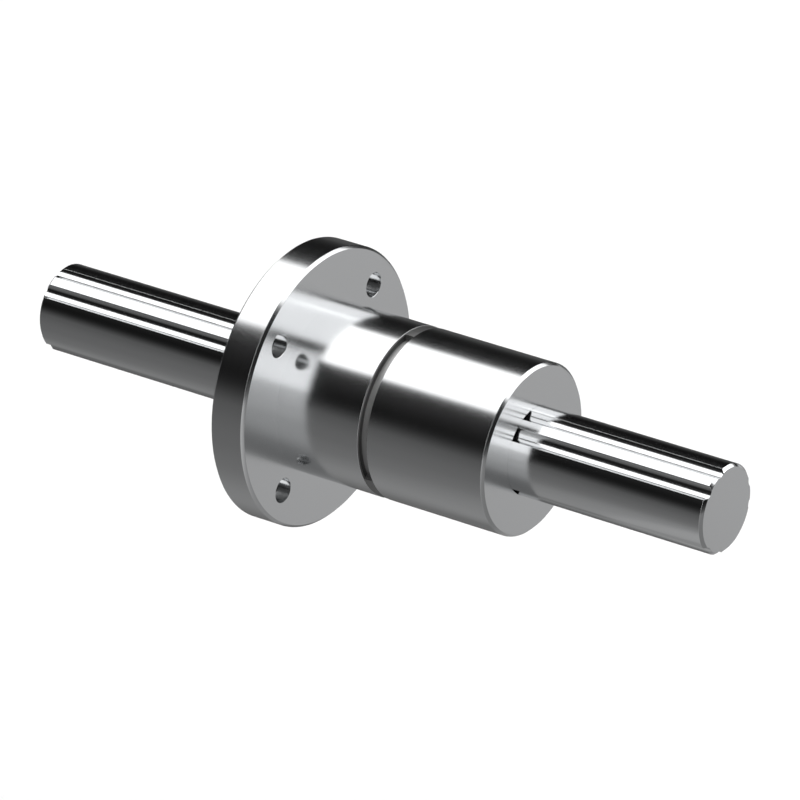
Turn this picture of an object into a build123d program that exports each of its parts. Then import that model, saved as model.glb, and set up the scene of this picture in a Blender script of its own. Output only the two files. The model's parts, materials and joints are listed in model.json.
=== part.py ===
from build123d import *
import os
from math import acos, cos, degrees, radians, sin

# Flanged ball spline: a splined shaft that slides through a nut on balls and can't turn in it.
# Millimetres. The origin is on the shaft's axis, in the flange's mounting face. +X runs along the
# shaft towards the nut's nose and +Z is up. Angles turn about +X, from +Y towards +Z.

# Shaft
shaft_d = 16.0
shaft_length = 140.0
shaft_ahead = 39.0  # what stands out of the nut's nose at rest
shaft_chamfer = 0.5
crest_count = 3

# Balls and ball paths
ball_d = 3.0
ball_gap = 0.08  # free length between two balls of a row
groove_r = 1.55  # of the grooves in the shaft and the raceways in the nut
groove_depth = 0.78  # of the grooves in the shaft
row_angle = 15.5  # from a crest's middle to the loaded row beside it
return_angle = 45.0  # from a crest's middle to the return row
return_rise = 2.2  # how far further out the return rows lie
channel_gap = 0.1  # between a ball and the wall of its return channel

# Nut body and flange
nut_d = 31.0
nut_length = 50.0
flange_d = 51.0
flange_t = 7.0
rim_chamfer = 0.5
bolt_circle_d = 40.0
bolt_count = 4
bolt_first_angle = 45.0
bolt_hole_d = 4.5
bolt_head_d = 8.0
bolt_head_depth = 4.4
rail_clearance = 0.8  # between the shaft's crests and the rails that carry the raceways
rail_wall = 0.55  # beside a raceway

# What closes the nut's ends
end_wall = 2.5
cap_t = 6.5
tongue_sides = 8  # the caps reach into the grooves with tongues of this many sides
channel_sides = 8

# Cage, lock pins and lock ring
cage_wall = 0.55  # outside the return channels
cage_bore_gap = 0.25  # between the cage and the shaft
pin_d = 1.5
pin_bite = 1.5  # how deep a pin enters its cage segment
pin_lead_angle = 30.0  # from the middle of a cage segment to its pin
lock_groove_width = 1.8
lock_groove_depth = 0.8
lock_groove_chamfer = 0.2
lock_ring_width = 1.7
lock_ring_t = 0.72
lock_open_angle = 148.5
lock_gap_angle = 105.0

# Clearances
guide_gap = 0.06  # round the shaft, in the rings at both ends
lip_gap = 0.1  # between the end caps' lips and the shaft
seat_gap = 0.05  # round what is dropped into the nut
side_gap = 0.1  # between a cage segment and the rails
close_gap = 0.02  # under the lock ring and round the pins

# Worked out from the sizes above
shaft_r = shaft_d / 2
nut_r = nut_d / 2
ball_r = ball_d / 2
path_r = shaft_r - groove_depth + groove_r
return_r = path_r + return_rise
channel_r = ball_r + channel_gap
cage_r = return_r + channel_r + cage_wall
chamber_r = cage_r + seat_gap
cage_bore_r = shaft_r + cage_bore_gap
rail_bore_r = shaft_r + rail_clearance
rail_half = path_r * sin(radians(row_angle)) + groove_r + rail_wall
guide_bore_r = shaft_r + guide_gap
lock_floor_r = nut_r - lock_groove_depth
crest_pitch = 360.0 / crest_count

back_x = -flange_t
nose_x = back_x + nut_length
nut_mid_x = back_x + nut_length / 2
nose_ring_x = nose_x - end_wall
front_cap_x = nose_ring_x - cap_t
rear_cap_x = back_x + end_wall
cage_x = rear_cap_x + cap_t
cage_length = front_cap_x - cage_x
cage_mid_x = cage_x + cage_length / 2
shaft_x = nose_x + shaft_ahead - shaft_length

# One ball circuit: a loaded row and a return row, and at each end a turn through the end cap, where
# one ball is lifting out of the groove and one is on its way round
ball_pitch = ball_d + ball_gap
row_balls = int(cage_length / ball_pitch)
row_half_span = (row_balls - 1) * ball_pitch / 2
turn_depth = 2 * channel_r
turn_run = cage_length / 2 + channel_r
lift_r = path_r + return_rise / 2
lift_step = degrees(acos((lift_r**2 + return_r**2 - ball_pitch**2) / (2 * lift_r * return_r)))


def crest_plane(crest, x):
    """Section plane at x, with its own first axis through the middle of a crest."""
    turn = radians(crest * crest_pitch)
    return Plane(origin=(x, 0, 0), x_dir=(0, cos(turn), sin(turn)), z_dir=(1, 0, 0))


def radial_plane(angle, radius):
    """Plane square to a radius of the nut's middle section."""
    out = Vector(0, cos(radians(angle)), sin(radians(angle)))
    return Plane(origin=Vector(nut_mid_x, 0, 0) + out * radius, x_dir=(1, 0, 0), z_dir=out)


def polar(radius, angle):
    """Point of a section, from its radius and angle."""
    return (radius * cos(radians(angle)), radius * sin(radians(angle)))


def pin_angle(crest):
    """Angle of the lock pin in the cage segment that follows a crest."""
    return (crest + 0.5) * crest_pitch + pin_lead_angle


def ball_paths(radius):
    """Circles on the loaded rows of balls, two beside each crest."""
    for side in (1, -1):
        with PolarLocations(path_r, crest_count, start_angle=side * row_angle):
            Circle(radius)


def beside(radius, angle, aside):
    """Point of a section, set off sideways from a radius."""
    out, across = polar(radius, angle)
    return (out - aside * sin(radians(angle)), across + aside * cos(radians(angle)))


def turn_pocket(side):
    """Outline round the balls' way in an end cap: out of the groove, then round to the return row."""
    inner = return_r - channel_r
    outer = return_r + channel_r
    bend = (return_angle - row_angle) / 4
    corner = outer / cos(radians(bend))
    points = (
        beside(path_r - channel_r, row_angle, -channel_r),
        beside(outer, row_angle, -channel_r),
        polar(corner, row_angle + bend),
        polar(corner, return_angle - bend),
        beside(outer, return_angle, channel_r),
        beside(inner, return_angle, channel_r),
        beside(inner, row_angle, channel_r),
        beside(path_r - channel_r, row_angle, channel_r),
    )
    Polygon(*[(out, side * across) for out, across in points], align=None)


def wedge(middle, width, reach, mode=Mode.SUBTRACT):
    """Triangle from the axis outwards, past the given radius, that cuts or keeps a part of a ring."""
    far = reach / cos(radians(width / 2))
    Polygon(
        (0, 0),
        polar(far, middle - width / 2),
        polar(far, middle + width / 2),
        align=None,
        mode=mode,
    )


def save(name, builder):
    """Label a finished piece and write it."""
    builder.part.label = name
    export_step(builder.part, f"parts/{name}.step")


os.makedirs("parts", exist_ok=True)

# Splined shaft: a ground bar with a groove on both sides of each crest
with BuildPart() as spline_shaft:
    with BuildSketch(Plane.YZ.offset(shaft_x)):
        Circle(shaft_r)
    extrude(amount=shaft_length)
    chamfer(spline_shaft.edges().filter_by(GeomType.CIRCLE), shaft_chamfer)
    with BuildSketch(Plane.YZ.offset(shaft_x)):
        ball_paths(groove_r)
    extrude(amount=shaft_length, mode=Mode.SUBTRACT)
save("spline_shaft", spline_shaft)

# Nut body with its flange
with BuildPart() as flange_nut:
    with BuildSketch(Plane.YZ.offset(back_x)):
        Circle(flange_d / 2)
    extrude(amount=flange_t)
    with BuildSketch(Plane.YZ):
        Circle(nut_r)
    extrude(amount=nose_x)
    rims = flange_nut.edges().filter_by(GeomType.CIRCLE)
    chamfer(rims.group_by(SortBy.RADIUS)[-1] + rims.group_by(Axis.X)[-1], rim_chamfer)

    # Round chambers at both ends
    with BuildSketch(Plane.YZ.offset(back_x)):
        Circle(chamber_r)
    extrude(amount=cage_x - back_x, mode=Mode.SUBTRACT)
    with BuildSketch(Plane.YZ.offset(front_cap_x)):
        Circle(chamber_r)
    extrude(amount=nose_x - front_cap_x, mode=Mode.SUBTRACT)

    # Between them three rails come in towards the crests, with a raceway for each loaded row
    with BuildSketch(Plane.YZ.offset(cage_x)):
        Circle(chamber_r)
        with PolarLocations(chamber_r / 2, crest_count):
            Rectangle(chamber_r + rail_wall, 2 * rail_half, mode=Mode.SUBTRACT)
        Circle(rail_bore_r)
        ball_paths(groove_r)
    extrude(amount=cage_length, mode=Mode.SUBTRACT)

    # Ring groove round the middle, with eased edges
    with BuildSketch(Plane.XZ):
        with BuildLine(Plane.XZ):
            half = lock_groove_width / 2
            eased = half + lock_groove_chamfer
            Polyline(
                (nut_mid_x - eased - lock_groove_chamfer, nut_r + lock_groove_chamfer),
                (nut_mid_x - half, nut_r - lock_groove_chamfer),
                (nut_mid_x - half, lock_floor_r),
                (nut_mid_x + half, lock_floor_r),
                (nut_mid_x + half, nut_r - lock_groove_chamfer),
                (nut_mid_x + eased + lock_groove_chamfer, nut_r + lock_groove_chamfer),
                close=True,
            )
        make_face()
    revolve(axis=Axis.X, mode=Mode.SUBTRACT)

    # Radial pin holes in the floor of the groove
    for crest in range(crest_count):
        with BuildSketch(radial_plane(pin_angle(crest), cage_r - pin_bite)):
            Circle(pin_d / 2 + close_gap)
        extrude(amount=nut_r - cage_r + pin_bite, mode=Mode.SUBTRACT)

    # Screw holes, with the heads sunk in the back of the flange
    with Locations(Plane(origin=(back_x, 0, 0), x_dir=(0, 1, 0), z_dir=(-1, 0, 0))):
        with PolarLocations(bolt_circle_d / 2, bolt_count, start_angle=bolt_first_angle):
            CounterBoreHole(bolt_hole_d / 2, bolt_head_d / 2, bolt_head_depth, depth=flange_t)
save("flange_nut", flange_nut)

# Rings pressed into both ends, flush with the nut's faces
for name, ring_x in (("nose_ring", nose_ring_x), ("rear_ring", back_x)):
    with BuildPart() as end_ring:
        with BuildSketch(Plane.YZ.offset(ring_x)):
            Circle(chamber_r)
            Circle(guide_bore_r, mode=Mode.SUBTRACT)
        extrude(amount=end_wall)
    save(name, end_ring)

# End caps. Their lips follow the crests and grooves of the shaft, and pockets in their inner faces
# turn the balls from the loaded rows into the return channels
for name, cap_x, pocket_x in (
    ("front_end_cap", front_cap_x, front_cap_x),
    ("rear_end_cap", rear_cap_x, cage_x - turn_depth),
):
    with BuildPart() as end_cap:
        with BuildSketch(Plane.YZ.offset(cap_x)):
            Circle(cage_r)
        extrude(amount=cap_t)
        with BuildSketch(Plane.YZ.offset(cap_x)):
            Circle(shaft_r + lip_gap)
            for side in (1, -1):
                with PolarLocations(path_r, crest_count, start_angle=side * row_angle):
                    RegularPolygon(groove_r - lip_gap, tongue_sides, mode=Mode.SUBTRACT)
        extrude(amount=cap_t, mode=Mode.SUBTRACT)
        for crest in range(crest_count):
            with BuildSketch(crest_plane(crest, pocket_x)):
                turn_pocket(1)
                turn_pocket(-1)
            extrude(amount=turn_depth, mode=Mode.SUBTRACT)
    save(name, end_cap)

# Cage segments, one in each pocket between two rails, with a return channel along each side
for crest in range(crest_count):
    with BuildPart() as cage_segment:
        with BuildSketch(crest_plane(crest, cage_x)):
            Circle(cage_r)
            Circle(cage_bore_r, mode=Mode.SUBTRACT)
            with PolarLocations(cage_r / 2, crest_count):
                Rectangle(cage_r + rail_wall, 2 * (rail_half + side_gap), mode=Mode.SUBTRACT)
            wedge(crest_pitch / 2, crest_pitch, cage_r, mode=Mode.INTERSECT)
            with Locations(polar(return_r, return_angle), polar(return_r, crest_pitch - return_angle)):
                RegularPolygon(channel_r, channel_sides, major_radius=False, mode=Mode.SUBTRACT)
        extrude(amount=cage_length)
        with BuildSketch(radial_plane(pin_angle(crest), cage_r - pin_bite - close_gap)):
            Circle(pin_d / 2 + close_gap)
        extrude(amount=2 * pin_bite, mode=Mode.SUBTRACT)
    save(f"cage_segment_{crest + 1}", cage_segment)

    with BuildPart() as lock_pin:
        with BuildSketch(radial_plane(pin_angle(crest), cage_r - pin_bite)):
            Circle(pin_d / 2)
        extrude(amount=lock_floor_r - cage_r + pin_bite)
    save(f"lock_pin_{crest + 1}", lock_pin)

# Lock ring that keeps the three pins in
with BuildPart() as lock_ring:
    with BuildSketch(Plane.YZ.offset(nut_mid_x - lock_ring_width / 2)):
        Circle(lock_floor_r + close_gap + lock_ring_t)
        Circle(lock_floor_r + close_gap, mode=Mode.SUBTRACT)
        wedge(lock_open_angle, lock_gap_angle, nut_r)
    extrude(amount=lock_ring_width)
save("lock_ring", lock_ring)

# A ball with few faces, whose corners lie on the real ball's surface: a cube less its corners
with BuildPart() as ball:
    Box(ball_d / 2**0.5, ball_d / 2**0.5, ball_d / 2**0.5)
    for corner in ball.vertices():
        out = Vector(*corner)
        split(bisect_by=Plane(origin=out * 2 / 3, z_dir=out), keep=Keep.BOTTOM)

# Ball circuits, one on each side of each crest: a loaded row, and the balls on their way back
circuit = 0
for crest in range(crest_count):
    for side in (1, -1):
        circuit += 1
        runs = [n * ball_pitch - row_half_span for n in range(row_balls)]
        with BuildPart(crest_plane(crest, cage_mid_x)) as loaded_balls:
            with Locations(*[(*polar(path_r, side * row_angle), run) for run in runs]):
                add(ball.part)
        save(f"loaded_balls_{circuit}", loaded_balls)

        with BuildPart(crest_plane(crest, cage_mid_x)) as return_balls:
            with Locations(*[(*polar(return_r, side * return_angle), run) for run in runs]):
                add(ball.part)
            for run in (-turn_run, turn_run):
                lifting = polar(lift_r, side * row_angle)
                crossing = polar(return_r, side * (row_angle + lift_step))
                with Locations((*lifting, run), (*crossing, run)):
                    add(ball.part)
        save(f"return_balls_{circuit}", return_balls)
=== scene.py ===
import json
from math import acos, atan2, ceil, cos, degrees, pi, radians, sin, tan

import bmesh
import bpy
from mathutils import Matrix, Vector


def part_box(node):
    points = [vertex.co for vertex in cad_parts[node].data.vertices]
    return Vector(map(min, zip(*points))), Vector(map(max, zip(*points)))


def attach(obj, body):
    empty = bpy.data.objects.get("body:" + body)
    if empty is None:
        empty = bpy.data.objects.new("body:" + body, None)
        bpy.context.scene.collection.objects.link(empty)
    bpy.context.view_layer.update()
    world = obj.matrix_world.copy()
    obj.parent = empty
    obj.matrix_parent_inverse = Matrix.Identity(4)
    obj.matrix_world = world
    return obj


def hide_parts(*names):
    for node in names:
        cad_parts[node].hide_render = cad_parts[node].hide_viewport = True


# Flanged ball spline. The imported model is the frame: metres, the shaft's axis along X, +Z up.
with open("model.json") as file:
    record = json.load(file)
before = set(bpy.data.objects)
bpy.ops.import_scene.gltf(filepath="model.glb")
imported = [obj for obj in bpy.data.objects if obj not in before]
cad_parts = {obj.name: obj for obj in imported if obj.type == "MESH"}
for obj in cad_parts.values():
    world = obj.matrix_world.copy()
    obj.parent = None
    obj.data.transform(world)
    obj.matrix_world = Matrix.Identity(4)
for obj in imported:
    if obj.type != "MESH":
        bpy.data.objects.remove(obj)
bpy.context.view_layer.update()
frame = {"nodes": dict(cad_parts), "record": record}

# Sizes. The frame gives places and lengths. What it can't give is repeated from the part.
mm = 0.001
mounts = {mount["name"]: mount for mount in frame["record"]["mounts"]}
screw_sizes = mounts["flange_screws"]["dims"]

back_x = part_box("flange_nut")[0].x
nose_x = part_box("flange_nut")[1].x
face_x = 0.0  # front of the flange
flange_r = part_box("flange_nut")[1].y
nut_r = mounts["nut_body"]["dims"]["r_mm"] * mm
rim_chamfer = 0.5 * mm
screw_circle_r = screw_sizes["pcd_mm"] * mm / 2
screw_count = screw_sizes["count"]
screw_hole_r = screw_sizes["hole_r_mm"] * mm
screw_first_angle = 45.0
screw_head_r = 4.0 * mm
screw_head_depth = 4.4 * mm
hole_break = 0.05 * mm  # the chamfer round the screw holes

shaft_r = 8.0 * mm
shaft_chamfer = 0.5 * mm
crest_count = 3
crest_pitch = 360.0 / crest_count
groove_r = 1.55 * mm
groove_depth = 0.78 * mm
path_r = shaft_r - groove_depth + groove_r  # of the balls' centres in the loaded rows
row_angle = 15.5  # degrees from a crest's middle to the rows of balls beside it
guide_gap = 0.01 * mm  # between the shaft and the end rings
rail_bore_r = 8.8 * mm
rail_wall = 0.55 * mm
rail_half = path_r * sin(radians(row_angle)) + groove_r + rail_wall
chamber_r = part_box("nose_ring")[1].y
rail_bite = 0.25 * mm  # the rails are joined to the body this far inside its wall
cage_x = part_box("cage_segment_1")[0].x
front_cap_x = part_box("cage_segment_1")[1].x

ball_r = 1.5 * mm
pin_r = 0.75 * mm
pin_low_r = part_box("lock_pin_1")[0].z  # the first pin points straight up
pin_lead_angle = 30.0
pin_gap = 0.02 * mm

lock_low, lock_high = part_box("lock_ring")
nut_mid_x = (lock_low.x + lock_high.x) / 2
lock_groove_half = 0.95 * mm
lock_groove_depth = 1.2 * mm
lock_groove_floor_r = nut_r - lock_groove_depth
lock_groove_chamfer = 0.06 * mm
lock_side_gap = 0.03 * mm
lock_floor_gap = 0.02 * mm
lock_ring_outer_r = lock_high.y
lock_open_angle = 150.0
lock_gap_angle = 114.0

edge_r = 0.04 * mm  # how far the machined edges are broken
guide_edge_r = 0.005 * mm  # less at the rings' bores, which run close to the shaft
pin_edge_r = 0.08 * mm
cutter_run = 2 * mm  # how far the cutters run out of the metal
weld_reach = 0.0005 * mm  # points closer than this become one
crisp_angle = 30.0  # edges that bend more stay crisp
turn_steps = 256  # of a turn of the nut and its rings
hole_steps = 64
pin_steps = 32
round_steps = 4  # of a broken edge
groove_steps = 32
land_step = 1.5  # degrees between points of the shaft's lands
ball_rounds = 3  # how often a ball's faces are split

# Finishes. The steel in the open ring's groove is rougher, as turned, and darkened with painted shade,
# which is darker still in its deep corners.
bright_dark = (0.592, 0.6, 0.607)
bright_light = (0.612, 0.62, 0.627)
fine_marks = 0.0001 * mm  # depth of the tool marks on ground and polished steel
film_patch = 9.0 * mm
# Painted shade: the grey that darkens the whole groove of the open ring
groove_shade_grey = 0.38
groove_rough = 0.5
# Painted shade, darker than the rest of the groove, in the groove's deep corners
corner_shade_grey = 0.13
corner_size = 0.18 * mm
corner_depth = 0.4 * mm  # below the groove's mouth
mouth_reach = 0.02 * mm  # the groove's steel begins this far below the nut's surface


def polar(radius, angle):
    """Point of a cross-section (y, z), from its radius and its angle in degrees from +Y towards +Z."""
    return Vector((radius * cos(radians(angle)), radius * sin(radians(angle))))


def rounded(corners):
    """Closed outline through (x, r, edge radius) corners, each turned on an arc of its radius."""
    outline = []
    for index, (x, r, radius) in enumerate(corners):
        here = Vector((x, r))
        if radius == 0:
            outline.append(here)
            continue
        back = (Vector(corners[index - 1][:2]) - here).normalized()
        onward = (Vector(corners[(index + 1) % len(corners)][:2]) - here).normalized()
        half = back.angle(onward) / 2
        centre = here + (back + onward).normalized() * radius / sin(half)
        start = heading(here + back * radius / tan(half) - centre)
        end = nearest_turn(heading(here + onward * radius / tan(half) - centre), start)
        outline += arc(centre, radius, start, end, round_steps)
    return outline


def arc(centre, radius, start, end, count):
    """Points of an arc in a cross-section, from one angle to another, both in degrees."""
    return [centre + polar(radius, start + (end - start) * n / count) for n in range(count + 1)]


def heading(vector):
    """Angle in degrees of a direction in a cross-section."""
    return degrees(atan2(vector.y, vector.x))


def nearest_turn(angle, other):
    """The same direction as angle, written within half a turn of other."""
    return other + (angle - other + 180.0) % 360.0 - 180.0


def finish_mesh(name, bm):
    """Object from a closed mesh, with its points welded and its faces turned outwards."""
    bmesh.ops.remove_doubles(bm, verts=bm.verts, dist=weld_reach)
    bmesh.ops.recalc_face_normals(bm, faces=bm.faces)
    mesh = bpy.data.meshes.new(name)
    bm.to_mesh(mesh)
    bm.free()
    piece = bpy.data.objects.new(name, mesh)
    bpy.context.scene.collection.objects.link(piece)
    return piece


def smooth_faces(piece):
    """Smooth shading that keeps flat faces flat and machined edges crisp."""
    piece.data.shade_smooth()
    piece.data.set_sharp_from_angle(angle=radians(crisp_angle))
    weights = piece.modifiers.new("face_weights", "WEIGHTED_NORMAL")
    weights.keep_sharp = True


def lathe(name, outline, steps=turn_steps, start=0.0, sweep=360.0):
    """Solid turned about the X axis from a closed outline of (x, r) points."""
    bm = bmesh.new()
    whole = sweep == 360.0
    stations = steps if whole else steps + 1
    rings = []
    for station in range(stations):
        angle = start + sweep * station / steps
        rings.append([bm.verts.new((x, *polar(r, angle))) for x, r in outline])
    for station in range(steps):
        here = rings[station]
        there = rings[(station + 1) % stations]
        for index in range(len(outline)):
            onward = (index + 1) % len(outline)
            bm.faces.new((here[index], here[onward], there[onward], there[index]))
    if not whole:
        bm.faces.new(rings[0])
        bm.faces.new(reversed(rings[-1]))
    return finish_mesh(name, bm)


def prism(name, sections):
    """Solid through cross-sections (x, points), each with as many points as the first."""
    bm = bmesh.new()
    rings = [[bm.verts.new((x, *point)) for point in points] for x, points in sections]
    for here, there in zip(rings, rings[1:]):
        for index in range(len(here)):
            onward = (index + 1) % len(here)
            bm.faces.new((here[index], here[onward], there[onward], there[index]))
    bm.faces.new(rings[0])
    bm.faces.new(reversed(rings[-1]))
    return finish_mesh(name, bm)


def merge(name, pieces):
    """One object of several, which are used up."""
    bm = bmesh.new()
    for piece in pieces:
        piece.data.transform(piece.matrix_world)
        bm.from_mesh(piece.data)
        bpy.data.objects.remove(piece)
    return finish_mesh(name, bm)


def combine(piece, other, operation):
    """Add another solid to a piece, or cut the piece with it. The other one is used up."""
    modifier = piece.modifiers.new(operation.lower(), "BOOLEAN")
    modifier.operation = operation
    modifier.solver = "MANIFOLD"
    modifier.object = other
    depsgraph = bpy.context.evaluated_depsgraph_get()
    result = bpy.data.meshes.new_from_object(piece.evaluated_get(depsgraph))
    piece.modifiers.remove(modifier)
    piece.data = result
    bpy.data.objects.remove(other)


def aim(piece, origin, direction):
    """Turn a piece that was made about the X axis so that it lies along a direction."""
    turned = direction.to_track_quat("X", "Z").to_matrix().to_4x4()
    piece.matrix_world = Matrix.Translation(origin) @ turned
    bpy.context.view_layer.update()


def spline_section(radius, edge):
    """Outline of the splined shaft where its crests have the given radius, with eased groove edges."""
    centres = []
    for crest in range(crest_count):
        centres += [crest * crest_pitch - row_angle, crest * crest_pitch + row_angle]
    near = radius - edge
    lean = (near**2 + path_r**2 - (groove_r + edge) ** 2) / (2 * near * path_r)
    opening = degrees(acos(lean))
    outline = []
    for index, angle in enumerate(centres):
        groove = polar(path_r, angle)
        first = polar(near, angle - opening)
        last = polar(near, angle + opening)
        into = nearest_turn(heading(groove - first), angle - opening)
        out = nearest_turn(heading(groove - last), angle + opening)
        floor_from = nearest_turn(heading(first - groove), angle - 180.0)
        floor_to = nearest_turn(heading(last - groove), angle - 180.0)
        outline += arc(first, edge, angle - opening, into, round_steps)
        outline += arc(groove, groove_r, floor_from, floor_to, groove_steps)[1:-1]
        outline += arc(last, edge, out, angle + opening, round_steps)
        following = (centres + [centres[0] + 360.0])[index + 1]
        steps = ceil((following - angle) / land_step)
        outline += arc(Vector((0, 0)), radius, angle + opening, following - opening, steps)[1:-1]
    return outline


def rail_section(crest):
    """Outline of one rail of the nut, with its two raceways, reaching into the body's wall."""
    lean = (rail_bore_r**2 + path_r**2 - groove_r**2) / (2 * rail_bore_r * path_r)
    opening = degrees(acos(lean))
    side_angle = degrees(atan2(rail_half, (rail_bore_r**2 - rail_half**2) ** 0.5))
    root = chamber_r + rail_bite
    outline = [Vector((root, -rail_half))]
    limits = [-side_angle]
    for angle in (-row_angle, row_angle):
        groove = polar(path_r, angle)
        from_angle = nearest_turn(heading(polar(rail_bore_r, angle - opening) - groove), angle)
        to_angle = nearest_turn(heading(polar(rail_bore_r, angle + opening) - groove), angle)
        outline += arc(Vector((0, 0)), rail_bore_r, limits[-1], angle - opening, round_steps)
        outline += arc(groove, groove_r, from_angle, to_angle, groove_steps)[1:-1]
        limits.append(angle + opening)
    outline += arc(Vector((0, 0)), rail_bore_r, limits[-1], side_angle, round_steps)
    outline.append(Vector((root, rail_half)))
    turn = Matrix.Rotation(radians(crest * crest_pitch), 2)
    return [turn @ point for point in outline]


def pin_direction(crest):
    """Way out along the lock pin in the cage segment that follows a crest."""
    return Vector((0, *polar(1, (crest + 0.5) * crest_pitch + pin_lead_angle)))


def make_flange_nut():
    """Nut body and flange: turned outside, rails and raceways inside, drilled for screws and pins."""
    groove_low = nut_mid_x - lock_groove_half
    groove_high = nut_mid_x + lock_groove_half
    eased_r = nut_r - lock_groove_chamfer
    nut = lathe("nut_body", rounded((
        (back_x, chamber_r, 0),
        (back_x, flange_r - rim_chamfer, edge_r),
        (back_x + rim_chamfer, flange_r, edge_r),
        (face_x - rim_chamfer, flange_r, edge_r),
        (face_x, flange_r - rim_chamfer, edge_r),
        (face_x, nut_r, 0),
        (groove_low - lock_groove_chamfer, nut_r, edge_r),
        (groove_low, eased_r, edge_r),
        (groove_low, lock_groove_floor_r, edge_r),
        (groove_high, lock_groove_floor_r, edge_r),
        (groove_high, eased_r, edge_r),
        (groove_high + lock_groove_chamfer, nut_r, edge_r),
        (nose_x - rim_chamfer, nut_r, edge_r),
        (nose_x, nut_r - rim_chamfer, edge_r),
        (nose_x, chamber_r, 0),
    )))
    rails = []
    for crest in range(crest_count):
        section = rail_section(crest)
        rails.append(prism("rail", ((cage_x, section), (front_cap_x, section))))
    combine(nut, merge("rails", rails), "UNION")

    cutters = []
    for hole in range(screw_count):
        y, z = polar(screw_circle_r, screw_first_angle + hole * 360.0 / screw_count)
        cutter = lathe("screw_hole", (
            Vector((back_x - cutter_run, 0)),
            Vector((back_x - cutter_run, screw_head_r + hole_break + cutter_run)),
            Vector((back_x + hole_break, screw_head_r)),
            Vector((back_x + screw_head_depth, screw_head_r)),
            Vector((back_x + screw_head_depth, screw_hole_r)),
            Vector((face_x - hole_break, screw_hole_r)),
            Vector((face_x + cutter_run, screw_hole_r + hole_break + cutter_run)),
            Vector((face_x + cutter_run, 0)),
        ), hole_steps)
        cutter.location = (0, y, z)
        bpy.context.view_layer.update()
        cutters.append(cutter)
    for crest in range(crest_count):
        cutter = lathe("pin_hole", (
            Vector((pin_low_r, 0)),
            Vector((pin_low_r, pin_r + pin_gap)),
            Vector((nut_r, pin_r + pin_gap)),
            Vector((nut_r, 0)),
        ), pin_steps)
        aim(cutter, Vector((nut_mid_x, 0, 0)), pin_direction(crest))
        cutters.append(cutter)
    combine(nut, merge("drills", cutters), "DIFFERENCE")
    return nut


def make_shaft():
    """Splined shaft: grooves along its whole length, chamfered ends."""
    low, high = (corner.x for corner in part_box("spline_shaft"))
    profile = rounded((
        (low, 0, 0),
        (low, shaft_r - shaft_chamfer, edge_r),
        (low + shaft_chamfer, shaft_r, edge_r),
        (high - shaft_chamfer, shaft_r, edge_r),
        (high, shaft_r - shaft_chamfer, edge_r),
        (high, 0, 0),
    ))
    return prism("shaft", [(x, spline_section(r, edge_r)) for x, r in profile if r > 0])


def make_end_ring(name, node):
    """Plain ring pressed into one end of the nut, flush with the nut's face."""
    low, high = (corner.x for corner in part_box(node))
    guide_bore_r = shaft_r + guide_gap
    return lathe(name, rounded((
        (low, guide_bore_r, guide_edge_r),
        (low, chamber_r, 0),
        (high, chamber_r, 0),
        (high, guide_bore_r, guide_edge_r),
    )))


def make_lock_ring():
    """Open ring in the groove of the nut."""
    start = lock_open_angle + lock_gap_angle / 2
    low = nut_mid_x - lock_groove_half + lock_side_gap
    high = nut_mid_x + lock_groove_half - lock_side_gap
    inner_r = lock_groove_floor_r + lock_floor_gap
    outline = rounded((
        (low, inner_r, edge_r),
        (low, lock_ring_outer_r, edge_r),
        (high, lock_ring_outer_r, edge_r),
        (high, inner_r, edge_r),
    ))
    return lathe("open_ring", outline, turn_steps, start, 360.0 - lock_gap_angle)


def make_lock_pin(crest):
    """Short pin with eased ends, set radially through the floor of the groove."""
    pin = lathe(f"pin_{crest + 1}", rounded((
        (pin_low_r, 0, 0),
        (pin_low_r, pin_r, pin_edge_r),
        (lock_groove_floor_r, pin_r, pin_edge_r),
        (lock_groove_floor_r, 0, 0),
    )), pin_steps)
    aim(pin, Vector((nut_mid_x, 0, 0)), pin_direction(crest))
    return pin


def make_balls(name, node):
    """Round balls where a node has its balls."""
    bm = bmesh.new()
    bm.from_mesh(frame["nodes"][node].data)
    bmesh.ops.remove_doubles(bm, verts=bm.verts, dist=weld_reach)
    centres = []
    waiting = dict.fromkeys(bm.verts)  # in the mesh's own order, so that each run gives the same
    while waiting:
        group = [waiting.popitem()[0]]
        for vert in group:
            for edge in vert.link_edges:
                other = edge.other_vert(vert)
                if other in waiting:
                    del waiting[other]
                    group.append(other)
        centres.append(sum((vert.co for vert in group), Vector()) / len(group))
    bm.free()
    bm = bmesh.new()
    for centre in centres:
        middle = Matrix.Translation(centre)
        bmesh.ops.create_icosphere(bm, subdivisions=ball_rounds, radius=ball_r, matrix=middle)
    return finish_mesh(name, bm)


def new_group(name, inputs, outputs):
    """Shader node group with number inputs (name: value) and number outputs."""
    tree = bpy.data.node_groups.new(name, "ShaderNodeTree")
    for label, value in inputs.items():
        socket = tree.interface.new_socket(name=label, in_out="INPUT", socket_type="NodeSocketFloat")
        socket.default_value = value
    for label in outputs:
        tree.interface.new_socket(name=label, in_out="OUTPUT", socket_type="NodeSocketFloat")
    return tree, tree.nodes.new("NodeGroupInput").outputs, tree.nodes.new("NodeGroupOutput").inputs


def feed(tree, value, socket):
    """Link a socket to another one, or set it to a number or a colour."""
    if isinstance(value, bpy.types.NodeSocket):
        tree.links.new(value, socket)
    else:
        socket.default_value = value


def maths(tree, operation, *values):
    """Math node; each of its one or two values is a socket or a number."""
    node = tree.nodes.new("ShaderNodeMath")
    node.operation = operation
    for value, socket in zip(values, node.inputs):
        feed(tree, value, socket)
    return node.outputs[0]


def spread(tree, value, low, high, from_low=0.0, from_high=1.0):
    """Map a value onto a range, from 0 to 1 or from the limits given."""
    node = tree.nodes.new("ShaderNodeMapRange")
    tree.links.new(value, node.inputs["Value"])
    node.inputs["From Min"].default_value = from_low
    node.inputs["From Max"].default_value = from_high
    node.inputs["To Min"].default_value = low
    node.inputs["To Max"].default_value = high
    return node.outputs["Result"]


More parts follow.
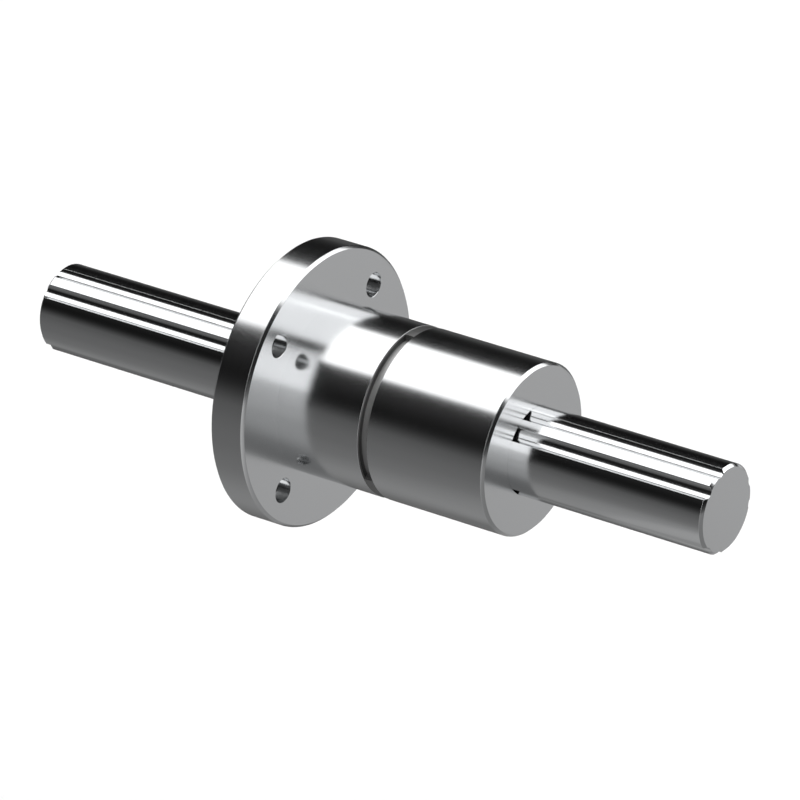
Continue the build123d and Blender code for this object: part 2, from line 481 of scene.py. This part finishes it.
def noise(tree, vector, w=None, detail=3.0):
    """Noise texture at unit scale, read at a vector and, for 4D noise, a fourth number."""
    node = tree.nodes.new("ShaderNodeTexNoise")
    node.noise_dimensions = "3D" if w is None else "4D"
    tree.links.new(vector, node.inputs["Vector"])
    if w is not None:
        tree.links.new(w, node.inputs["W"])
    node.inputs["Scale"].default_value = 1.0
    node.inputs["Detail"].default_value = detail
    return node.outputs[0]


def place(tree):
    """The surface point in the object's own frame, as x, y and z in millimetres."""
    coordinates = tree.nodes.new("ShaderNodeTexCoord")
    split = tree.nodes.new("ShaderNodeSeparateXYZ")
    tree.links.new(coordinates.outputs["Object"], split.inputs[0])
    return [maths(tree, "DIVIDE", axis, mm) for axis in split.outputs]


def vector_of(tree, x, y, z):
    """Vector from three sockets."""
    node = tree.nodes.new("ShaderNodeCombineXYZ")
    for value, socket in zip((x, y, z), node.inputs):
        feed(tree, value, socket)
    return node.outputs[0]


def axis_distance(tree, y, z):
    """Distance of the surface point from the X axis."""
    squares = maths(tree, "ADD", maths(tree, "MULTIPLY", y, y), maths(tree, "MULTIPLY", z, z))
    return maths(tree, "SQRT", squares)


def turning_marks_group():
    """Rings that a lathe leaves round the X axis, on walls and on faces alike."""
    tree, given, made = new_group("turning_marks", {"Lines per mm": 5.0, "Unevenness": 3.0}, ["Marks"])
    x, y, z = place(tree)
    radius = axis_distance(tree, y, z)
    lines = given["Lines per mm"]
    aside = maths(tree, "DIVIDE", y, radius)
    up = maths(tree, "DIVIDE", z, radius)
    vector = vector_of(
        tree,
        maths(tree, "MULTIPLY", x, lines),
        maths(tree, "MULTIPLY", radius, lines),
        maths(tree, "MULTIPLY", aside, given["Unevenness"]),
    )
    marks = noise(tree, vector, maths(tree, "MULTIPLY", up, given["Unevenness"]))
    tree.links.new(marks, made["Marks"])
    return tree


def grinding_marks_group():
    """Fine lines along the X axis, as a profile grinder leaves them."""
    tree, given, made = new_group("grinding_marks", {"Lines per mm": 6.0, "Run mm": 12.0}, ["Marks"])
    x, y, z = place(tree)
    lines = given["Lines per mm"]
    vector = vector_of(
        tree,
        maths(tree, "DIVIDE", x, given["Run mm"]),
        maths(tree, "MULTIPLY", y, lines),
        maths(tree, "MULTIPLY", z, lines),
    )
    tree.links.new(noise(tree, vector), made["Marks"])
    return tree


def oil_film_group():
    """Slow patches where a thin film of oil softens the gloss."""
    tree, given, made = new_group("oil_film", {"Patch mm": 9.0}, ["Film"])
    x, y, z = place(tree)
    vector = vector_of(tree, *[maths(tree, "DIVIDE", axis, given["Patch mm"]) for axis in (x, y, z)])
    tree.links.new(noise(tree, vector, detail=4.0), made["Film"])
    return tree


def moulded_grain_group():
    """Fine even grain of a moulded face."""
    tree, given, made = new_group("moulded_grain", {"Grain per mm": 6.0}, ["Grain"])
    grain = given["Grain per mm"]
    vector = vector_of(tree, *[maths(tree, "MULTIPLY", axis, grain) for axis in place(tree)])
    tree.links.new(noise(tree, vector, detail=2.0), made["Grain"])
    return tree


def ring_groove_group():
    """Masks of the groove that holds the open ring, where painted shade goes: all of it, and its deep
    corners.
    """
    given_sizes = {
        "Middle mm": 0.0, "Half width mm": 1.0, "Mouth radius mm": 15.0,
        "Corner mm": 0.2, "Corner depth mm": 0.4,
    }
    tree, given, made = new_group("ring_groove", given_sizes, ["Inside", "Shaded corners"])
    x, y, z = place(tree)
    aside = maths(tree, "ABSOLUTE", maths(tree, "SUBTRACT", x, given["Middle mm"]))
    between = maths(tree, "LESS_THAN", aside, given["Half width mm"])
    radius = axis_distance(tree, y, z)
    below = maths(tree, "LESS_THAN", radius, given["Mouth radius mm"])
    inside = maths(tree, "MULTIPLY", between, below)
    tree.links.new(inside, made["Inside"])
    corner_from = maths(tree, "SUBTRACT", given["Half width mm"], given["Corner mm"])
    deep_from = maths(tree, "SUBTRACT", given["Mouth radius mm"], given["Corner depth mm"])
    beside = maths(tree, "GREATER_THAN", aside, corner_from)
    deep = maths(tree, "LESS_THAN", radius, deep_from)
    # Mask of the deep corners, where the darker painted shade goes
    corners = maths(tree, "MULTIPLY", inside, maths(tree, "MULTIPLY", beside, deep))
    tree.links.new(corners, made["Shaded corners"])
    return tree


turning_marks = turning_marks_group()
grinding_marks = grinding_marks_group()
oil_film = oil_film_group()
moulded_grain = moulded_grain_group()
ring_groove = ring_groove_group()


def use_group(tree, group, values):
    """Place a node group with its values (input: number) and give its outputs."""
    node = tree.nodes.new("ShaderNodeGroup")
    node.node_tree = group
    for label, value in values.items():
        node.inputs[label].default_value = value
    return node.outputs


def start_material(name, metallic):
    """Empty material with one Principled shader."""
    material = bpy.data.materials.new(name)
    material.use_nodes = True
    tree = material.node_tree
    shader = tree.nodes["Principled BSDF"]
    shader.inputs["Metallic"].default_value = metallic
    return material, tree, shader


# Places of a Mix node's two inputs and its result
mix_places = {"FLOAT": (2, 3, 0), "RGBA": (6, 7, 2)}


def mix(tree, kind, mask, first, second):
    """Mix two numbers (FLOAT) or two colours (RGBA) by a mask; each is a value or a socket."""
    node = tree.nodes.new("ShaderNodeMix")
    node.data_type = kind
    first_place, second_place, result_place = mix_places[kind]
    tree.links.new(mask, node.inputs["Factor"])
    feed(tree, first, node.inputs[first_place])
    feed(tree, second, node.inputs[second_place])
    return node.outputs[result_place]


def shade(tree, shader, mask, dark, light):
    """Base colour between two greys by a mask."""
    colour = mix(tree, "RGBA", mask, (*dark, 1), (*light, 1))
    tree.links.new(colour, shader.inputs["Base Color"])


def relief(tree, shader, height, depth):
    """Bump of a real depth in metres."""
    bump = tree.nodes.new("ShaderNodeBump")
    bump.inputs["Strength"].default_value = 1.0
    bump.inputs["Distance"].default_value = depth
    tree.links.new(height, bump.inputs["Height"])
    tree.links.new(bump.outputs["Normal"], shader.inputs["Normal"])


def metal(name, tool_marks, tool_values, dark, light, rough, marks_depth, marks_share):
    """Bare metal whose gloss changes with its tool marks and an oil film."""
    material, tree, shader = start_material(name, metallic=1.0)
    marks = use_group(tree, tool_marks, tool_values)["Marks"]
    film = use_group(tree, oil_film, {"Patch mm": film_patch / mm})["Film"]
    weighted = maths(tree, "MULTIPLY", marks, marks_share)
    blend = maths(tree, "ADD", weighted, maths(tree, "MULTIPLY", film, 1.0 - marks_share))
    shade(tree, shader, blend, dark, light)
    tree.links.new(spread(tree, blend, *rough), shader.inputs["Roughness"])
    relief(tree, shader, marks, marks_depth)
    return material


def dull(tree, shader, mask, grey, roughness):
    """Where a mask is 1, one grey and roughness take the place of the metal's own."""
    for label, kind, value in (
        ("Base Color", "RGBA", (grey, grey, grey, 1)),
        ("Roughness", "FLOAT", roughness),
    ):
        own = shader.inputs[label].links[0].from_socket
        tree.links.new(mix(tree, kind, mask, own, value), shader.inputs[label])


def dull_and_shade_ring_groove(tree):
    """Rougher steel, as turned, in the groove that holds the open ring, darkened with painted shade,
    and with darker painted shade in its deep corners.
    """
    masks = use_group(tree, ring_groove, {
        "Middle mm": nut_mid_x / mm,
        "Half width mm": (lock_groove_half + lock_groove_chamfer) / mm,
        "Mouth radius mm": (nut_r - mouth_reach) / mm,
        "Corner mm": corner_size / mm,
        "Corner depth mm": corner_depth / mm,
    })
    shader = tree.nodes["Principled BSDF"]
    # Painted shade over the whole groove, darker in its deep corners; only the roughness is the turned
    # steel's own
    dull(tree, shader, masks["Inside"], groove_shade_grey, groove_rough)
    dull(tree, shader, masks["Shaded corners"], corner_shade_grey, groove_rough)


def moulded_plastic(name, grain_values, dark, light, rough, grain_depth):
    """Plastic with a fine grain in its colour, gloss and surface."""
    material, tree, shader = start_material(name, metallic=0.0)
    grain = use_group(tree, moulded_grain, grain_values)["Grain"]
    shade(tree, shader, grain, dark, light)
    tree.links.new(spread(tree, grain, *rough), shader.inputs["Roughness"])
    relief(tree, shader, grain, grain_depth)
    return material


def make_materials():
    """One material for each of the record's slots."""
    made = {}
    made["ground_steel"] = metal(
        "fine_turned_steel", turning_marks, {"Lines per mm": 5.0, "Unevenness": 2.0},
        dark=bright_dark, light=bright_light, rough=(0.16, 0.2),
        marks_depth=fine_marks, marks_share=0.5,
    )
    # The open ring's groove gets rougher steel and painted shade
    dull_and_shade_ring_groove(made["ground_steel"].node_tree)
    made["hard_chrome"] = metal(
        "ground_hard_chrome", grinding_marks, {"Lines per mm": 8.0, "Run mm": 15.0},
        dark=bright_dark, light=bright_light, rough=(0.14, 0.17),
        marks_depth=fine_marks, marks_share=0.5,
    )
    made["spring_steel"] = metal(
        "dark_spring_steel", turning_marks, {"Lines per mm": 9.0, "Unevenness": 5.0},
        dark=(0.19, 0.19, 0.19), light=(0.24, 0.24, 0.24), rough=(0.42, 0.5),
        marks_depth=0.001 * mm, marks_share=0.6,
    )
    made["ball_steel"] = metal(
        "polished_ball_steel", grinding_marks, {"Lines per mm": 4.0, "Run mm": 1.0},
        dark=(0.5, 0.5, 0.5), light=(0.53, 0.53, 0.53), rough=(0.04, 0.08),
        marks_depth=fine_marks, marks_share=0.3,
    )
    made["black_plastic"] = moulded_plastic(
        "moulded_black_plastic", {"Grain per mm": 7.0},
        dark=(0.012, 0.012, 0.012), light=(0.022, 0.022, 0.022), rough=(0.42, 0.55),
        grain_depth=0.004 * mm,
    )
    return made


materials = make_materials()


def fit(piece, body, slot, *nodes):
    """A finished piece takes its material, rides on its body and stands for its nodes."""
    smooth_faces(piece)
    piece.data.materials.clear()
    piece.data.materials.append(materials[slot])
    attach(piece, body)
    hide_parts(*nodes)


fit(make_flange_nut(), "nut", "ground_steel", "flange_nut")
fit(make_end_ring("nose_closing_ring", "nose_ring"), "nut", "ground_steel", "nose_ring")
fit(make_end_ring("rear_closing_ring", "rear_ring"), "nut", "ground_steel", "rear_ring")
fit(make_lock_ring(), "nut", "spring_steel", "lock_ring")
fit(make_shaft(), "shaft", "hard_chrome", "spline_shaft")
for crest in range(crest_count):
    fit(make_lock_pin(crest), "nut", "ball_steel", f"lock_pin_{crest + 1}")
for circuit in range(1, 2 * crest_count + 1):
    for row in ("loaded", "return"):
        node = f"{row}_balls_{circuit}"
        fit(make_balls(f"{row}_row_{circuit}", node), "nut", "ball_steel", node)

# The moulded pieces keep their own shapes
for name in ("front_end_cap", "rear_end_cap", *[f"cage_segment_{n + 1}" for n in range(crest_count)]):
    for slot in frame["nodes"][name].material_slots:
        slot.material = materials["black_plastic"]

# Camera, from a fit of the photograph's edges to the part, with its angles in degrees
view_azimuth = 35.170
view_elevation = 27.313
view_roll = -0.863
view_distance = 1.06707
view_target = Vector((13.206, 2.862, 0)) * mm
focal_pixels = 6130.11
frame_pixels = 800
sensor_width = 36.0
near_clip = 0.01

# Studio: a pale floor, and soft boxes overhead, behind the camera and low at the back on the right.
# The one behind the camera has a dimmer foot. A card of graded grey lies on the floor for the metal
# alone to mirror.
floor_drop = 0.12  # from the shaft's axis down to the floor
floor_size = 8.0
floor_shade = 0.93
floor_roughness = 0.9
box_glow = 2.1
front_glow = 2.45
foot_glow = 1.4
top_height = 1.0
top_turn = 18.7  # degrees from +X towards +Y
top_front = -0.29
top_back = 0.95
top_left = -1.3
top_right = 1.8
wall_away = 1.5  # of the two upright boxes from the object
front_low = 0.02
front_foot = 0.5  # top of the dimmer foot
front_high = 2.9
back_low = 0.25
back_high = 1.0
# The upright walls are turned from +X towards +Y, and lean sideways in their own plane
front_wall = {"turn": -60.0, "middle": (front_low + front_high) / 2, "width": 1.1, "lean": -20.0}
back_wall = {"turn": 56.0, "middle": (back_low + back_high) / 2, "width": 1.0, "lean": 0.0}
card_lift = 0.001  # above the floor
card_greys = (
    (-28.0, 0.14), (-6.7, 0.165), (-1.4, 0.19), (-0.5, 0.225), (-0.3, 0.26), (-0.1, 0.32),
    (0.0, 0.35), (0.2, 0.5), (0.6, 0.535), (1.3, 0.545), (4.0, 0.67),
)  # how far out (the product of x and y, in squares of the floor's drop), and the grey there
card_valley = 0.75  # y over x at the sides of the darker valley that runs out to the right
card_valley_depth = -0.3  # the greys on the right are read no lower than this
card_behind = 0.6  # share of the grey that is left behind the object on the left
behind_bearings = (-0.5, 1.0)  # y over the size of x where that begins and where it is complete
card_before = 1.25  # how much paler the card is before the object on the right
before_bearings = (-1.3, -0.8)  # y over the size of x where that is complete and where it begins
room_lights = (
    (0.0, 0.11), (0.11, 0.05), (0.2, 0.015), (0.32, 0.005), (0.45, 0.012), (0.65, 0.028),
)  # heights of a direction, each with the light that comes from there
room_behind = 0.4  # share of the room's light that is left behind the object
room_fade = (-0.4, 0.6)  # y of the directions between which it fades


def plane(name, centre, size_x, size_y):
    """Flat rectangle that faces up."""
    bm = bmesh.new()
    corners = [(x * size_x / 2, y * size_y / 2, 0) for x, y in ((-1, -1), (1, -1), (1, 1), (-1, 1))]
    bm.faces.new([bm.verts.new(corner) for corner in corners])
    mesh = bpy.data.meshes.new(name)
    bm.to_mesh(mesh)
    bm.free()
    piece = bpy.data.objects.new(name, mesh)
    piece.location = centre
    bpy.context.scene.collection.objects.link(piece)
    return piece


def soft_box(name, glow, width, depth, place_in_room):
    """Rectangular lamp that shines down its own Z axis, with a brightness set by its glow."""
    light = bpy.data.lights.new(name, "AREA")
    light.shape = "RECTANGLE"
    light.size = width
    light.size_y = depth
    light.energy = glow * pi * width * depth
    lamp = bpy.data.objects.new(name, light)
    lamp.matrix_world = place_in_room
    bpy.context.scene.collection.objects.link(lamp)


def upright_box(name, glow, low, high, turn, middle, width, lean):
    """Soft box on an upright wall that faces the object, from one height on the wall to another."""
    outward = Matrix.Rotation(radians(turn), 4, "Z") @ Matrix.Translation((wall_away, 0, middle))
    upright = Matrix.Rotation(radians(90), 4, "Y") @ Matrix.Rotation(radians(lean), 4, "Z")
    along = Matrix.Translation((middle - (low + high) / 2, 0, 0))
    soft_box(name, glow, high - low, width, outward @ upright @ along)


def greys(tree, value, steps):
    """Grey that runs through (value, grey) steps."""
    low, high = steps[0][0], steps[-1][0]
    ramp = tree.nodes.new("ShaderNodeValToRGB")
    tree.links.new(spread(tree, value, 0.0, 1.0, low, high), ramp.inputs["Fac"])
    stops = ramp.color_ramp.elements
    while len(stops) < len(steps):
        stops.new(1.0)
    for stop, (at, grey) in zip(stops, steps):
        stop.position = (at - low) / (high - low)
        stop.color = (grey, grey, grey, 1)
    return ramp.outputs["Color"]


def lay_card():
    """Card under the object that only mirrored rays meet, dark to the left and pale to the right."""
    card = plane("grey_card", (0, 0, card_lift - floor_drop), floor_size, floor_size)
    card.visible_camera = False
    card.visible_diffuse = False
    card.visible_shadow = False
    card.visible_transmission = False
    material = bpy.data.materials.new("graded_card")
    material.use_nodes = True
    tree = material.node_tree
    tree.nodes.remove(tree.nodes["Principled BSDF"])
    x, y, z = place(tree)
    valley = maths(tree, "MULTIPLY", maths(tree, "MAXIMUM", x, 0.0), card_valley)
    outward = maths(tree, "MULTIPLY", x, maths(tree, "SUBTRACT", maths(tree, "ABSOLUTE", y), valley))
    outward = maths(tree, "DIVIDE", outward, (floor_drop / mm) ** 2)
    deepest = spread(tree, maths(tree, "GREATER_THAN", x, 0.0), card_greys[0][0], card_valley_depth)
    outward = maths(tree, "MAXIMUM", outward, deepest)
    bearing = maths(tree, "DIVIDE", y, maths(tree, "ABSOLUTE", x))
    on_left = maths(tree, "LESS_THAN", x, 0.0)
    on_right = maths(tree, "GREATER_THAN", x, 0.0)
    behind = maths(tree, "MULTIPLY", on_left, spread(tree, bearing, 0.0, 1.0, *behind_bearings))
    before = maths(tree, "MULTIPLY", on_right, spread(tree, bearing, 1.0, 0.0, *before_bearings))
    darker = spread(tree, behind, 1.0, card_behind)
    paler = spread(tree, before, 1.0, card_before)
    glow = tree.nodes.new("ShaderNodeEmission")
    tree.links.new(greys(tree, outward, card_greys), glow.inputs["Color"])
    tree.links.new(maths(tree, "MULTIPLY", darker, paler), glow.inputs["Strength"])
    tree.links.new(glow.outputs[0], tree.nodes["Material Output"].inputs["Surface"])
    card.data.materials.append(material)


def build_stage():
    """Floor, lamps, card and room."""
    floor = plane("floor", (0, 0, -floor_drop), floor_size, floor_size)
    material, tree, shader = start_material("pale_floor", metallic=0.0)
    shader.inputs["Base Color"].default_value = (floor_shade, floor_shade, floor_shade, 1)
    shader.inputs["Roughness"].default_value = floor_roughness
    shader.inputs["Specular IOR Level"].default_value = 0.0
    floor.data.materials.append(material)

    top_to_world = Matrix.Rotation(radians(top_turn), 4, "Z")
    top_centre = Vector(((top_left + top_right) / 2, (top_front + top_back) / 2, top_height))
    top_width = top_right - top_left
    top_depth = top_back - top_front
    above = top_to_world @ Matrix.Translation(top_centre)
    soft_box("top_soft_box", box_glow, top_width, top_depth, above)
    upright_box("front_soft_box", front_glow, front_foot, front_high, **front_wall)
    upright_box("front_foot", foot_glow, front_low, front_foot, **front_wall)
    upright_box("back_soft_box", box_glow, back_low, back_high, **back_wall)
    lay_card()

    world = bpy.data.worlds.new("dim_room")
    world.use_nodes = True
    tree = world.node_tree
    coordinates = tree.nodes.new("ShaderNodeTexCoord")
    split = tree.nodes.new("ShaderNodeSeparateXYZ")
    tree.links.new(coordinates.outputs["Generated"], split.inputs[0])
    background = tree.nodes["Background"].inputs
    tree.links.new(greys(tree, split.outputs["Z"], room_lights), background["Color"])
    strength = spread(tree, split.outputs["Y"], 1.0, room_behind, *room_fade)
    tree.links.new(strength, background["Strength"])
    bpy.context.scene.world = world


def build_camera():
    """Camera at the photograph's angle."""
    azimuth = radians(view_azimuth)
    elevation = radians(view_elevation)
    away = Vector((sin(azimuth) * cos(elevation), -cos(azimuth) * cos(elevation), sin(elevation)))
    level = Vector((cos(azimuth), sin(azimuth), 0))
    above = away.cross(level)
    right = cos(radians(view_roll)) * level + sin(radians(view_roll)) * above
    up = away.cross(right)
    data = bpy.data.cameras.new("camera")
    data.sensor_width = sensor_width
    data.lens = focal_pixels / frame_pixels * sensor_width
    data.clip_start = near_clip
    camera = bpy.data.objects.new("camera", data)
    turned = Matrix((right, up, away)).transposed().to_4x4()
    camera.matrix_world = Matrix.Translation(view_target + view_distance * away) @ turned
    bpy.context.scene.collection.objects.link(camera)
    bpy.context.scene.camera = camera


build_stage()
build_camera()
bpy.context.scene.view_settings.view_transform = "Standard"
